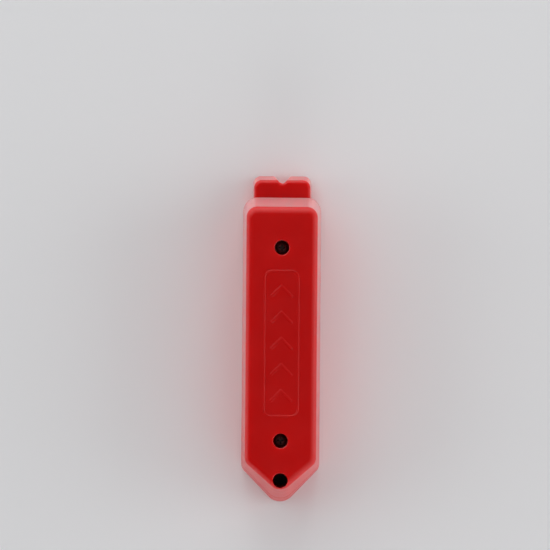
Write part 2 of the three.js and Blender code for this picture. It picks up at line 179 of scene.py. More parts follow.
# Screws
HEAD_HEIGHT = 1.8
HEAD_RIM = 0.6
HEAD_EDGE = 0.12
HEAD_FULLNESS = 0.7
HEAD_UNDERSIDE_Z = HEAD_TOP_Z - HEAD_HEIGHT
SEAT_Z = HEAD_UNDERSIDE_Z - CONTACT
SHANK_RADIUS = 1.0
THREAD_RADIUS = 1.3
THREAD_PITCH = 1.25
THREAD_TURNS = 7
THREAD_SHARE = 0.6
TIP_LENGTH = 1.0
RECESS_DEPTH = 1.0
RECESS_LENGTHS = (0.9, 2.3)
RECESS_WIDTHS = (0.3, 0.6)

# Raised marking
MARK_Y = -1.0
MARK_WIDTH = 11.0
MARK_LENGTH = 45.0
MARK_RADIUS = 2.5
MARK_LINE = 0.6
CHEVRON_COUNT = 5
CHEVRON_PITCH = 8.0
CHEVRON_HALF_WIDTH = 3.0
CHEVRON_LINE = 1.1

# Magnets, keepers and pad
PLATE_CORNER = 0.4
PLATE_EDGE = 0.12
PAD_BULGE = 0.28
PAD_RADIUS = 0.35
PAD_CELL = 0.35
PAD_ROUGHNESS = 0.05
PAD_SEED = 1

# Points on arcs, rounded edges, round solids and screws, and on one turn of the thread
ARC_STEPS = 14
EDGE_STEPS = 7
ROUND_STEPS = 72
SCREW_STEPS = 48
THREAD_STEPS = 14

# Distance within which points are merged, angles in degrees above which an edge is shaded sharp, and how much
# large faces count in the shading of the small ones beside them
WELD = 0.001
SHARP_ANGLE = 32.0
NO_SHARP_ANGLE = 180.0
FLAT_FACE_WEIGHT = 100

# ------------------------------------------------------------------ outlines


def arc(x, y, radius, start, end, steps=ARC_STEPS):
    """Points along an arc about (x, y), between two angles in degrees."""
    angles = [math.radians(start + (end - start) * i / steps) for i in range(steps + 1)]
    return [(x + radius * math.cos(a), y + radius * math.sin(a)) for a in angles]


def body_outline(z, inset=0.0):
    """Body outline at height z, moved inwards by inset: a pointed nose, straight sides and a flat end."""
    half_width = WIDTH / 2 - z * math.tan(SIDE_DRAFT) - inset
    end_y = END_WALL_Y - max(z - SPLIT_Z, 0) * math.tan(END_DRAFT) - inset
    nose = max(NOSE_RADIUS - z * NOSE_TAPER - inset, MIN_RADIUS)
    corner = max(CORNER_RADIUS - z * CORNER_TAPER - inset, MIN_RADIUS)
    shoulder = max(SHOULDER_RADIUS - inset, MIN_RADIUS)
    angle = NOSE_ANGLE - z * NOSE_ANGLE_TAPER
    slope = math.tan(math.radians(angle))
    stretch = 1 / math.cos(math.radians(angle))
    base_stretch = 1 / math.cos(math.radians(NOSE_ANGLE))
    base_point_y = COVER_LO.y - NOSE_RADIUS * (base_stretch - 1)
    point_y = base_point_y + z * NOSE_SETBACK + inset * stretch
    shoulder_x = half_width - shoulder
    shoulder_y = point_y + shoulder_x * slope + shoulder * stretch
    corner_x = half_width - corner
    corner_y = end_y - corner
    return (
        arc(0, point_y + nose * stretch, nose, 270 - angle, 270 + angle)
        + arc(shoulder_x, shoulder_y, shoulder, angle - 90, 0)
        + arc(corner_x, corner_y, corner, 0, 90)
        + arc(-corner_x, corner_y, corner, 90, 180)
        + arc(-shoulder_x, shoulder_y, shoulder, 180, 270 - angle)
    )


def ledge_outline(z, inset=0.0):
    """Ledge outline at height z, moved inwards by inset.

    The end wall leans and the notch is upright, so the straight flanks of the notch get shorter with height
    until its round bottom meets the round lips.
    """
    sin, cos = math.sin(NOTCH_HALF_ANGLE), math.cos(NOTCH_HALF_ANGLE)
    setback = z * math.tan(LEDGE_DRAFT) + inset
    half_width = LEDGE_HALF_WIDTH - z * math.tan(SIDE_DRAFT) - inset
    end_y = COVER_HI.y - setback
    mouth = NOTCH_HALF_MOUTH - setback * sin / cos + inset / cos
    lip = max(NOTCH_LIP_RADIUS - inset, MIN_RADIUS)
    notch = NOTCH_RADIUS + inset
    corner = LEDGE_CORNER_RADIUS - inset
    corner_x = half_width - corner
    corner_y = end_y - corner
    lip_y = end_y - lip
    notch_y = end_y + (notch - mouth * cos) / sin
    rise = lip_y - notch_y
    lip_x = mouth + lip * (1 - sin) / cos
    tangent = -math.degrees(NOTCH_HALF_ANGLE)
    flank_length = lip_x * sin + rise * cos
    if flank_length < 0:
        lip_x = math.sqrt((lip + notch) ** 2 - rise**2)
        tangent = math.degrees(math.atan2(rise, lip_x))
    return (
        [(half_width, LEDGE_ROOT_Y)]
        + arc(corner_x, corner_y, corner, 0, 90)
        + arc(lip_x, lip_y, lip, 90, 180 + tangent)
        + arc(0, notch_y, notch, tangent, -180 - tangent)
        + arc(-lip_x, lip_y, lip, -tangent, 90)
        + arc(-corner_x, corner_y, corner, 90, 180)
        + [(-half_width, LEDGE_ROOT_Y)]
    )


def rectangle(x0, x1, y0, y1):
    """Outline function of an upright box."""

    def outline(_, inset=0.0):
        left, right, near, far = x0 + inset, x1 - inset, y0 + inset, y1 - inset
        return [(left, near), (right, near), (right, far), (left, far)]

    return outline


def round_rectangle(x0, x1, y0, y1, radius):
    """Outline function of an upright box with round corners."""

    def outline(_, inset=0.0):
        left, right, near, far = x0 + radius, x1 - radius, y0 + radius, y1 - radius
        return (
            arc(right, near, radius - inset, -90, 0)
            + arc(right, far, radius - inset, 0, 90)
            + arc(left, far, radius - inset, 90, 180)
            + arc(left, near, radius - inset, 180, 270)
        )

    return outline


# ------------------------------------------------------------------ mesh tools


def new_object(name, vertices, faces):
    """Mesh object from points in millimetres."""
    mesh = bpy.data.meshes.new(name)
    mesh.from_pydata([tuple(c * MM for c in v) for v in vertices], [], faces)
    mesh.validate()
    obj = bpy.data.objects.new(name, mesh)
    bpy.context.scene.collection.objects.link(obj)
    return obj


def loft(levels):
    """Closed skin over (z, outline) levels with equal point counts, from bottom to top."""
    count = len(levels[0][1])
    vertices = [(x, y, z) for z, outline in levels for x, y in outline]
    faces = [tuple(range(count))[::-1]]
    for level in range(len(levels) - 1):
        for i in range(count):
            a = level * count + i
            b = level * count + (i + 1) % count
            faces.append((a, b, b + count, a + count))
    top = (len(levels) - 1) * count
    faces.append(tuple(range(top, top + count)))
    return new_object("solid", vertices, faces)


def rounding(radius):
    """(depth, inset) pairs over a rounded edge, from its crown to its flank, or one pair for a sharp edge."""
    if radius == 0:
        return [(0.0, 0.0)]
    angles = [i / EDGE_STEPS * math.pi / 2 for i in range(EDGE_STEPS + 1)]
    return [(radius * (1 - math.cos(a)), radius * (1 - math.sin(a))) for a in angles]


def rounded_levels(outline, z0, z1, low_radius=0.0, high_radius=0.0, inset=0.0):
    """Levels of an outline function between two heights, with rounded lower and upper edges."""
    low = [(z0 + depth, extra) for depth, extra in rounding(low_radius)]
    middle = [(SPLIT_Z, 0.0)] if z0 < SPLIT_Z < z1 else []
    high = [(z1 - depth, extra) for depth, extra in reversed(rounding(high_radius))]
    return [(z, outline(z, inset + extra)) for z, extra in low + middle + high]


def prism(outline, z0, z1, inset=0.0, low_radius=0.0, high_radius=0.0):
    return loft(rounded_levels(outline, z0, z1, low_radius, high_radius, inset))


def block(x0, x1, y0, y1, z0, z1, low_radius=0.0, high_radius=0.0):
    """Upright box between two corners."""
    return prism(rectangle(x0, x1, y0, y1), z0, z1, 0.0, low_radius, high_radius)


def mirrored(x0, x1, *rest):
    """The same box on both sides of the centre plane."""
    return [block(x0, x1, *rest), block(-x1, -x0, *rest)]


def turned(y, profile, x=0.0):
    """Round solid about an upright axis, from (radius, z) pairs from bottom to top."""
    return loft([(z, arc(x, y, r, 0, 360, ROUND_STEPS)[:-1]) for r, z in profile])


def post(y, radius, z0, z1, low_radius=0.0, high_radius=0.0):
    """Round post with rounded ends."""
    low = [(radius - extra, z0 + depth) for depth, extra in rounding(low_radius)]
    high = [(radius - extra, z1 - depth) for depth, extra in reversed(rounding(high_radius))]
    return turned(y, low + high)


def bore(y, radius, z0, z1, low_lip=0.0, high_lip=0.0):
    """Cutter for a hole from z0 to z1. A mouth with a lip is rounded and cut through past its end."""
    low = [(radius + extra, z0 + depth) for depth, extra in rounding(low_lip)]
    high = [(radius + extra, z1 - depth) for depth, extra in reversed(rounding(high_lip))]
    if low_lip:
        low.insert(0, (radius + low_lip, z0 - OVERRUN))
    if high_lip:
        high.append((radius + high_lip, z1 + OVERRUN))
    return turned(y, low + high)


def apply_modifiers(obj):
    graph = bpy.context.evaluated_depsgraph_get()
    mesh = bpy.data.meshes.new_from_object(obj.evaluated_get(graph))
    obj.modifiers.clear()
    old = obj.data
    obj.data = mesh
    bpy.data.meshes.remove(old)


def combine(target, operation, parts):
    """Joins parts to the target, or cuts or clips it with them, and removes them."""
    for part in parts:
        modifier = target.modifiers.new(operation.lower(), "BOOLEAN")
        modifier.operation = operation
        modifier.solver = "EXACT"
        modifier.object = part
    apply_modifiers(target)
    for part in parts:
        bpy.data.objects.remove(part)
    return target


def clean(mesh):
    """Merges the nearly equal points that cutting leaves, so that no face is without area."""
    edit = bmesh.new()
    edit.from_mesh(mesh)
    bmesh.ops.remove_doubles(edit, verts=edit.verts, dist=WELD * MM)
    bmesh.ops.dissolve_degenerate(edit, edges=edit.edges, dist=WELD * MM)
    edit.to_mesh(mesh)
    edit.free()


def named(obj, name):
    obj.name = name
    obj.data.name = name
    return obj


# ------------------------------------------------------------------ marking


def flank(half_line):
    """(inset, z) pairs up one side of a raised line, from inside the wall to its crest."""
    shares = [i / EDGE_STEPS for i in range(EDGE_STEPS + 1)]
    rise = [(half_line * CREST_SHARE * t, FACE_Z + RELIEF * math.sin(t * math.pi / 2)) for t in shares]
    return [(0.0, FACE_Z - ROOT), (0.0, FACE_Z + RELIEF_STEP)] + rise[1:]


def chevron(y):
    """Raised chevron with round ends, whose point looks along +Y."""
    reach = CHEVRON_HALF_WIDTH
    levels = []
    for inset, z in flank(CHEVRON_LINE / 2):
        half_line = CHEVRON_LINE / 2 - inset
        right = arc(reach, y - reach, half_line, -135, 45)
        left = arc(-reach, y - reach, half_line, 135, 315)
        levels.append((z, right + arc(0, y, half_line, 45, 135) + left + [(0, y - half_line * math.sqrt(2))]))
    return loft(levels)


def mark_frame():
    """Thin raised frame around the marking, as a closed ring."""
    half_width = MARK_WIDTH / 2
    near = MARK_Y - MARK_LENGTH / 2
    outline = round_rectangle(-half_width, half_width, near, near + MARK_LENGTH, MARK_RADIUS)
    outer = flank(MARK_LINE / 2)
    profile = outer + [(MARK_LINE - inset, z) for inset, z in reversed(outer)]
    vertices = [(x, y, z) for inset, z in profile for x, y in outline(z, inset)]
    rows = len(profile)
    count = len(vertices) // rows
    faces = []
    for row in range(rows):
        up = (row + 1) % rows * count - row * count
        for i in range(count):
            a = row * count + i
            b = row * count + (i + 1) % count
            faces.append((a, b, b + up, a + up))
    return new_object("mark", vertices, faces)


def marking():
    """Generic marking: a frame with chevrons that point at the notch."""
    first = MARK_Y + (CHEVRON_HALF_WIDTH - CHEVRON_PITCH * (CHEVRON_COUNT - 1)) / 2
    return [mark_frame()] + [chevron(first + i * CHEVRON_PITCH) for i in range(CHEVRON_COUNT)]


# ------------------------------------------------------------------ front housing


def ceiling_ribs():
    """Cross ribs, a rib along the middle and the gussets of the screw towers, under the front face."""
    z0 = CEILING_Z - CEILING_RIB_DEPTH
    z1 = FACE_Z - ROOT
    half = RIB / 2
    side = WIDTH / 2
    upper_y, lower_y = SCREW_YS
    ribs = [block(-side, side, y - half, y + half, z0, z1, RIB_RADIUS) for y in RIB_YS]
    ribs += [block(-side, side, y - half, y + half, SEAT_Z - RIB, z1, RIB_RADIUS) for y in SCREW_YS]
    return ribs + [block(-half, half, lower_y, upper_y, z0, z1, RIB_RADIUS)]


def nail_pocket():
    """Ribs that guide the nail magnet and its keeper, and stop them from lifting."""
    inner = NAIL_HI.x + GAP
    outer = inner + RIB
    back = NAIL_KEEPER_LO.y - GAP
    middle = back - RIB / 2
    stop = NAIL_HI.x / 2
    rim = SPLIT_Z + GAP
    top = FACE_Z - ROOT
    return (
        mirrored(stop, outer, back - RIB, back, rim, top, RIB_RADIUS)
        + mirrored(inner, outer, middle, NAIL_HI.y, rim, top, RIB_RADIUS)
        + mirrored(inner, outer, middle, END_WALL_Y, REBATE_TOP_Z, top)
        + mirrored(stop, stop + RIB, middle, END_WALL_Y, PAD_HI.z + GAP, top, RIB_RADIUS)
    )


def housing_inside():
    """Towers, hanging tube, ribs and magnet pocket, clipped so that they end inside the walls."""
    inside = post(HANG_Y, HANG_TUBE_RADIUS, REBATE_TOP_Z, FACE_Z - ROOT, RIB_RADIUS)
    towers = [post(y, TOWER_RADIUS, BOSS_TOP_Z + SEAM, FACE_Z - ROOT, RIB_RADIUS) for y in SCREW_YS]
    combine(inside, "UNION", towers + ceiling_ribs() + nail_pocket())
    return combine(inside, "INTERSECT", [prism(body_outline, SPLIT_Z, FACE_Z - ROOT / 2, WALL / 2)])


def ejector_marks(z0, z1):
    """Cutters for the round marks that ejector pins leave on the inside of a moulded shell."""
    places = [(x, y) for x in (-EJECTOR_X, EJECTOR_X) for y in EJECTOR_YS]
    return [turned(y, [(EJECTOR_RADIUS, z0), (EJECTOR_RADIUS, z1)], x) for x, y in places]


def front_housing():
    rim = SPLIT_Z + SEAM
    housing = prism(body_outline, rim, FACE_Z, 0.0, RIM_RADIUS, EDGE_RADIUS)
    cavity = prism(body_outline, rim - OVERRUN, CEILING_Z, WALL, 0.0, INSIDE_RADIUS)
    rebate = prism(body_outline, rim - OVERRUN, REBATE_TOP_Z, TONGUE_INSET - SEAM)
    marks = ejector_marks(CEILING_Z - OVERRUN, CEILING_Z + EJECTOR_DEPTH)
    combine(housing, "DIFFERENCE", [cavity, rebate] + marks)
    combine(housing, "UNION", [housing_inside()])
    half_pocket = NAIL_HI.x + GAP
    relief = block(-half_pocket, half_pocket, NAIL_LO.y, NAIL_HI.y + GAP, rim - OVERRUN, PAD_LO.z)
    cutters = [bore(y, BORE_RADIUS, SEAT_Z, FACE_Z, 0.0, HOLE_LIP) for y in SCREW_YS]
    tower_z = BOSS_TOP_Z + SEAM
    cutters += [bore(y, SHANK_HOLE_RADIUS, tower_z, SEAT_Z, HOLE_LIP, HOLE_LIP) for y in SCREW_YS]
    cutters += [bore(HANG_Y, HANG_RADIUS, REBATE_TOP_Z, FACE_Z, HOLE_LIP, HOLE_LIP), relief]
    combine(housing, "DIFFERENCE", cutters)
    return named(combine(housing, "UNION", marking()), "front_housing_fine")


# ------------------------------------------------------------------ back cover


def finder_pocket():
    """Frame of ribs on the floor around the finder magnet."""
    inner = FINDER_HI.x + GAP
    outer = inner + RIB
    near = FINDER_LO.y - GAP
    z0 = FLOOR - ROOT
    z1 = (FINDER_KEEPER_LO.z + FINDER_KEEPER_HI.z) / 2
    sides = mirrored(inner, outer, near - RIB / 2, FINDER_HI.y + GAP, z0, z1, 0.0, RIB_RADIUS)
    return sides + [block(-outer, outer, near - RIB, near, z0, z1, 0.0, RIB_RADIUS)]


def floor_ribs():
    """Cross ribs and a rib along the middle, on the floor of the tray."""
    z0 = FLOOR - ROOT
    z1 = FLOOR + FLOOR_RIB_DEPTH
    half = RIB / 2
    side = WIDTH / 2
    upper_y, lower_y = SCREW_YS
    ribs = [block(-side, side, y - half, y + half, z0, z1, 0.0, RIB_RADIUS) for y in RIB_YS]
    return ribs + [block(-half, half, lower_y, upper_y, z0, z1, 0.0, RIB_RADIUS)]


def cover_inside():
    """Bosses, hanging tube, ribs and magnet pocket, clipped so that they end inside the walls."""
    inside = post(HANG_Y, HANG_TUBE_RADIUS, FLOOR - ROOT, REBATE_TOP_Z - SEAM, 0.0, RIB_RADIUS)
    bosses = [post(y, BOSS_RADIUS, FLOOR - ROOT, BOSS_TOP_Z, 0.0, RIB_RADIUS) for y in SCREW_YS]
    combine(inside, "UNION", bosses + floor_ribs() + finder_pocket())
    return combine(inside, "INTERSECT", [prism(body_outline, 0, REBATE_TOP_Z, (WALL + TONGUE_INSET) / 2)])


def back_cover():
    cover = prism(body_outline, 0, SPLIT_Z, 0.0, FOOT_RADIUS, RIM_RADIUS)
    ledge = prism(ledge_outline, 0, SPLIT_Z, 0.0, FOOT_RADIUS, LEDGE_EDGE_RADIUS)
    tongue = prism(body_outline, SPLIT_Z - ROOT, TONGUE_TOP_Z, TONGUE_INSET, 0.0, TONGUE_LEAD)
    combine(cover, "UNION", [ledge, tongue])
    tray = prism(body_outline, FLOOR, TONGUE_TOP_Z + OVERRUN, WALL, INSIDE_RADIUS)
    combine(cover, "DIFFERENCE", [tray] + ejector_marks(FLOOR - EJECTOR_DEPTH, FLOOR + OVERRUN))
    combine(cover, "UNION", [cover_inside()])
    cutters = [bore(y, PILOT_RADIUS, PILOT_FLOOR_Z, BOSS_TOP_Z, 0.0, HOLE_LIP) for y in SCREW_YS]
    cutters.append(bore(HANG_Y, HANG_RADIUS, 0, REBATE_TOP_Z - SEAM, HOLE_LIP, HOLE_LIP))
    return named(combine(cover, "DIFFERENCE", cutters), "back_cover_fine")


# ------------------------------------------------------------------ screws


def thread_ridge(angle, depth):
    """Height of the thread above its root, at one angle and height above the start of the thread."""
    turns = depth / THREAD_PITCH
    phase = (turns - angle / (2 * math.pi)) % 1
    wave = max(1 - abs(2 * phase - 1) / THREAD_SHARE, 0)
    fade = max(min(1, turns + 1, THREAD_TURNS - turns), 0)
    return (THREAD_RADIUS - SHANK_RADIUS) * wave * fade


def head_profile():
    """(radius, z) pairs over a pan head, from under its rim to its crown."""
    rim = HEAD_UNDERSIDE_Z + HEAD_RIM
    crown = HEAD_TOP_Z - rim
    angles = [i / ARC_STEPS * math.pi / 2 for i in range(ARC_STEPS)]
    dome = [(HEAD_RADIUS * math.cos(a) ** HEAD_FULLNESS, rim + crown * math.sin(a)) for a in angles]
    return [(HEAD_RADIUS - HEAD_EDGE, HEAD_UNDERSIDE_Z), (HEAD_RADIUS, HEAD_UNDERSIDE_Z + HEAD_EDGE)] + dome


def screw_recess(y):
    """Cutter for a tapered cross recess."""
    cutters = []
    for turn in (False, True):
        levels = []
        for z, length, width in zip((HEAD_TOP_Z - RECESS_DEPTH, HEAD_TOP_Z), RECESS_LENGTHS, RECESS_WIDTHS):
            half_x, half_y = (width / 2, length / 2) if turn else (length / 2, width / 2)
            levels.append((z, rectangle(-half_x, half_x, y - half_y, y + half_y)(z)))
        levels.append((HEAD_TOP_Z + OVERRUN, levels[-1][1]))
        cutters.append(loft(levels))
    return cutters


def screw(name):
    """Pan-head self-tapping screw with its point down."""
    lo, hi = SCREW_BOXES[name]
    y = (lo.y + hi.y) / 2
    thread_z = SCREW_TIP_Z + TIP_LENGTH
    rows = (THREAD_TURNS + 1) * THREAD_STEPS
    heights = [thread_z + (i / THREAD_STEPS - 1) * THREAD_PITCH for i in range(rows + 1)]
    heights = [z for z in heights if z > SCREW_TIP_Z] + [HEAD_UNDERSIDE_Z]
    profile = [(SHANK_RADIUS * min((z - SCREW_TIP_Z) / TIP_LENGTH, 1), z) for z in heights]
    profile += head_profile()
    vertices = [(0, y, SCREW_TIP_Z)]
    for radius, z in profile:
        for i in range(SCREW_STEPS):
            angle = i / SCREW_STEPS * 2 * math.pi
            on_shank = z < HEAD_UNDERSIDE_Z
            ridge = thread_ridge(angle, z - thread_z) * radius / SHANK_RADIUS if on_shank else 0
            vertices.append(((radius + ridge) * math.cos(angle), y + (radius + ridge) * math.sin(angle), z))
    vertices.append((0, y, HEAD_TOP_Z))
    top = len(vertices) - 1
    faces = []
    for i in range(SCREW_STEPS):
        j = (i + 1) % SCREW_STEPS
        faces.append((0, j + 1, i + 1))
        for row in range(len(profile) - 1):
            start = 1 + row * SCREW_STEPS
            faces.append((start + i, start + j, start + j + SCREW_STEPS, start + i + SCREW_STEPS))
        last = top - SCREW_STEPS
        faces.append((last + i, last + j, top))
    return combine(new_object(name + "_fine", vertices, faces), "DIFFERENCE", screw_recess(y))


# ------------------------------------------------------------------ magnets, keepers and pad


def plate(node):
    """Magnet or keeper: a block with round corners and edges."""
    lo, hi = box_mm(node)
    outline = round_rectangle(lo.x, hi.x, lo.y, hi.y, PLATE_CORNER)
    return named(prism(outline, lo.z, hi.z, 0.0, PLATE_EDGE, PLATE_EDGE), node + "_fine")


def foam_pad():
    """Foam block squeezed between the magnets and the ribs: its sides bulge and its skin is rough."""
    margin = Vector((PAD_ROUGHNESS, PAD_ROUGHNESS, PAD_ROUGHNESS))
    lo, hi = PAD_LO + margin, PAD_HI - margin
    pad = block(lo.x, hi.x, lo.y, hi.y, lo.z, hi.z, PAD_RADIUS, PAD_RADIUS)
    remesh = pad.modifiers.new("cells", "REMESH")
    remesh.mode = "VOXEL"
    remesh.voxel_size = PAD_CELL * MM
    apply_modifiers(pad)
    centre = (lo + hi) / 2 * MM
    half = (hi - lo) / 2 * MM
    noise.seed_set(PAD_SEED)
    for vertex in pad.data.vertices:
        offset = vertex.co - centre
        squeeze = PAD_BULGE * MM * (offset.z / half.z) ** 2
        vertex.co.x -= squeeze * offset.x / half.x
        vertex.co.y -= squeeze * offset.y / half.y
        vertex.co += noise.noise_vector(vertex.co / (PAD_CELL * MM)) * PAD_ROUGHNESS * MM / 2
    return named(pad, "magnet_pad_fine")


# ------------------------------------------------------------------ materials


# Cosine between a flat and a rounded edge's normal at which the edge counts as fully worn
WORN_EDGE = 0.93


def ramp(tree, value, low, high, out_low, out_high):
    """Straight ramp over a value, held level outside low and high."""
    made = tree.nodes.new("ShaderNodeMapRange")
    for key, number in zip(("From Min", "From Max", "To Min", "To Max"), (low, high, out_low, out_high)):
        made.inputs[key].default_value = number
    tree.links.new(value, made.inputs["Value"])
    return made.outputs["Result"]


class Shader:
    """Node material with short calls for the nodes it is made of."""

    def __init__(self, name):
        self.material = bpy.data.materials.new(name)
        self.material.use_nodes = True
        self.tree = self.material.node_tree
        self.surface = self.tree.nodes["Principled BSDF"]
        coordinates = self.tree.nodes.new("ShaderNodeTexCoord")
        self.millimetres = self.node("ShaderNodeVectorMath", operation="SCALE")
        self.millimetres.inputs["Scale"].default_value = 1 / MM
        self.link(coordinates.outputs["Object"], self.millimetres.inputs[0])

    def node(self, kind, **settings):
        made = self.tree.nodes.new(kind)
        for key, value in settings.items():
            setattr(made, key, value)
        return made

    def link(self, source, target):
        self.tree.links.new(source, target)

    def feed(self, socket, value):
        """Links a socket to another, or sets it to a plain value."""
        if isinstance(value, bpy.types.NodeSocket):
            self.link(value, socket)
        else:
            socket.default_value = value

    def set(self, **values):
        for key, value in values.items():
            self.feed(self.surface.inputs[key.replace("_", " ")], value)

    def noise(self, scale, detail=2.0, roughness=0.5, stretch=(1, 1, 1), turn=0.0):
        """Noise with features about 1 / scale millimetres across, stretched along the given axes."""
        mapping = self.node("ShaderNodeMapping")
        mapping.inputs["Scale"].default_value = stretch
        mapping.inputs["Rotation"].default_value = (0, 0, math.radians(turn))
        texture = self.node("ShaderNodeTexNoise")
        texture.inputs["Scale"].default_value = scale
        texture.inputs["Detail"].default_value = detail
        texture.inputs["Roughness"].default_value = roughness
        self.link(self.millimetres.outputs[0], mapping.inputs["Vector"])
        self.link(mapping.outputs[0], texture.inputs["Vector"])
        return texture.outputs["Fac"]

    def remap(self, value, low, high, out_low, out_high):
        return ramp(self.tree, value, low, high, out_low, out_high)

    def math(self, operation, a, b):
        made = self.node("ShaderNodeMath", operation=operation)
        self.feed(made.inputs[0], a)
        self.feed(made.inputs[1], b)
        return made.outputs[0]

    def mix(self, factor, a, b):
        made = self.node("ShaderNodeMix", data_type="RGBA")
        for name, value in (("Factor_Float", factor), ("A_Color", a), ("B_Color", b)):
            socket = next(s for s in made.inputs if s.identifier == name)
            self.feed(socket, value)
        return next(s for s in made.outputs if s.identifier == "Result_Color")

    def bump(self, height, distance, under=None):
        """Bump of the given height in millimetres, over an earlier bump."""
        made = self.node("ShaderNodeBump")
        made.inputs["Distance"].default_value = distance * MM
        self.link(height, made.inputs["Height"])
        if under is not None:
            self.link(under, made.inputs["Normal"])
        return made.outputs["Normal"]

    def facing(self):
        """0 where the surface faces the viewer, and 1 where it is seen edge on."""
        return self.node("ShaderNodeLayerWeight").outputs["Facing"]

    def along_y(self, low, high, out_low, out_high):
        """Ramp along the object, between two places in millimetres."""
        split = self.node("ShaderNodeSeparateXYZ")
        self.link(self.millimetres.outputs[0], split.inputs[0])
        return self.remap(split.outputs["Y"], low, high, out_low, out_high)

    def edges(self, radius):
        """Mask that is 1 on rounded edges tighter than the radius in millimetres, and 0 on flats."""
        rounded = self.node("ShaderNodeBevel")
        rounded.inputs["Radius"].default_value = radius * MM
        geometry = self.node("ShaderNodeNewGeometry")
        dot = self.node("ShaderNodeVectorMath", operation="DOT_PRODUCT")
        self.link(rounded.outputs["Normal"], dot.inputs[0])
        self.link(geometry.outputs["True Normal"], dot.inputs[1])
        return self.remap(dot.outputs["Value"], 1.0, WORN_EDGE, 0.0, 1.0)


def red_plastic():
    """Moulded red plastic: slow colour drift, fine grain, smudges, hair scratches and rubbed edges.

    Walls seen at a flat angle get a painted pale reflection, stronger towards the ledge, as the clear pack
    gives them.
    """
    shader = Shader("red_plastic")
    drift = shader.remap(shader.noise(0.06, detail=2), 0.3, 0.7, 0, 1)
    colour = shader.mix(drift, (0.57, 0.0020, 0.0016, 1), (0.62, 0.0026, 0.0020, 1))
    fleck = shader.remap(shader.noise(5.0, detail=1), 0.55, 0.80, 0, 0.05)
    colour = shader.mix(fleck, colour, (0.68, 0.010, 0.008, 1))
    hair = shader.noise(1.0, detail=1, stretch=(9.0, 0.10, 9.0), turn=18)
    patch = shader.remap(shader.noise(0.12), 0.45, 0.65, 0, 1)
    scratch = shader.math("MULTIPLY", shader.remap(hair, 0.70, 0.76, 0, 1), patch)
    smudge = shader.remap(shader.noise(0.16, detail=4, roughness=0.6), 0.35, 0.7, 0.29, 0.36)
    roughness = shader.math("ADD", smudge, shader.math("MULTIPLY", scratch, 0.10))
    rub = shader.remap(shader.noise(0.9, detail=3), 0.4, 0.6, 0.2, 1)
    edge = shader.math("MULTIPLY", shader.edges(0.35), rub)
    colour = shader.mix(shader.math("MULTIPLY", edge, 0.18), colour, (0.62, 0.02, 0.016, 1))
    # Painted reflection: the colour turns pale where the surface is seen edge on, stronger towards the ledge
    # end
    glancing = shader.remap(shader.facing(), 0.72, 0.85, 0, 0.28)
    painted_sheen = shader.math("MULTIPLY", glancing, shader.along_y(-45, 45, 0.25, 1.3))
    colour = shader.mix(painted_sheen, colour, (0.80, 0.78, 0.80, 1))
    peel = shader.bump(shader.noise(0.55, detail=2), 0.010)
    normal = shader.bump(shader.noise(6.0, detail=2), 0.0020, under=peel)
    shader.set(
        Base_Color=colour,
        Roughness=roughness,
        IOR=1.5,
        Subsurface_Weight=0.7,
        Subsurface_Radius=(1.0, 0.06, 0.04),
        Subsurface_Scale=4.0 * MM,
        Normal=normal,
    )
    return shader.material


def nickel():
    """Bright nickel plating with faint haze and pits."""
    shader = Shader("magnet_nickel")
    colour = shader.mix(shader.noise(0.5, detail=3), (0.60, 0.58, 0.54, 1), (0.70, 0.69, 0.66, 1))
    roughness = shader.remap(shader.noise(1.6, detail=4), 0.3, 0.7, 0.14, 0.28)
    normal = shader.bump(shader.noise(4.0), 0.003)
    shader.set(Base_Color=colour, Metallic=1.0, Roughness=roughness, Normal=normal)
    return shader.material


def zinc_steel():
    """Dull zinc-plated sheet steel, brushed along the keeper."""
    shader = Shader("keeper_steel")
    colour = shader.mix(shader.noise(0.7, detail=2), (0.38, 0.39, 0.40, 1), (0.50, 0.51, 0.53, 1))
    brushed = shader.noise(1.0, detail=2, stretch=(0.15, 14, 14))
    roughness = shader.remap(brushed, 0.3, 0.7, 0.32, 0.5)
    shader.set(Base_Color=colour, Metallic=1.0, Roughness=roughness, Normal=shader.bump(brushed, 0.004))
    return shader.material


def foam():
    """Matt closed-cell foam."""
    shader = Shader("black_foam")
    cells = shader.node("ShaderNodeTexVoronoi")
    cells.inputs["Scale"].default_value = 3.5
    shader.link(shader.millimetres.outputs[0], cells.inputs["Vector"])
    colour = shader.mix(cells.outputs["Distance"], (0.008, 0.008, 0.009, 1), (0.03, 0.03, 0.032, 1))
    shader.set(Base_Color=colour, Roughness=0.92, Normal=shader.bump(cells.outputs["Distance"], 0.12))
    return shader.material


def black_oxide():
    """Satin black steel, worn grey on its edges."""
    shader = Shader("black_screw")
    rub = shader.remap(shader.noise(2.5, detail=3), 0.45, 0.6, 0, 1)
    wear = shader.math("MULTIPLY", shader.edges(0.15), rub)
    colour = shader.mix(wear, (0.22, 0.20, 0.195, 1), (0.36, 0.35, 0.34, 1))
    roughness = shader.remap(shader.noise(3.0, detail=3), 0.3, 0.7, 0.32, 0.5)
    normal = shader.bump(shader.noise(5.0, detail=2), 0.004)
    shader.set(Base_Color=colour, Metallic=0.8, Roughness=roughness, Normal=normal)
    return shader.material


def pale_floor():
    shader = Shader("pale_floor")
    tone = shader.noise(0.004, detail=2)
    colour = shader.mix(tone, (0.89, 0.89, 0.90, 1), (0.92, 0.92, 0.93, 1))
    shader.set(Base_Color=colour, Roughness=0.6)
    return shader.material


# ------------------------------------------------------------------ finishing


def finish_piece(obj, material, node, slot, sharp_angle=SHARP_ANGLE):
    """Smooth shading, material and body of a piece that stands for a CAD node; the slot is not used."""
    mesh = obj.data
    clean(mesh)
    mesh.materials.clear()
    mesh.materials.append(material)
    for polygon in mesh.polygons:
        polygon.use_smooth = True
    mesh.set_sharp_from_angle(angle=math.radians(sharp_angle))
    weighted = obj.modifiers.new("weighted", "WEIGHTED_NORMAL")
    weighted.keep_sharp = True
    weighted.weight = FLAT_FACE_WEIGHT
    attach(obj, "root")
    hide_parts(node)


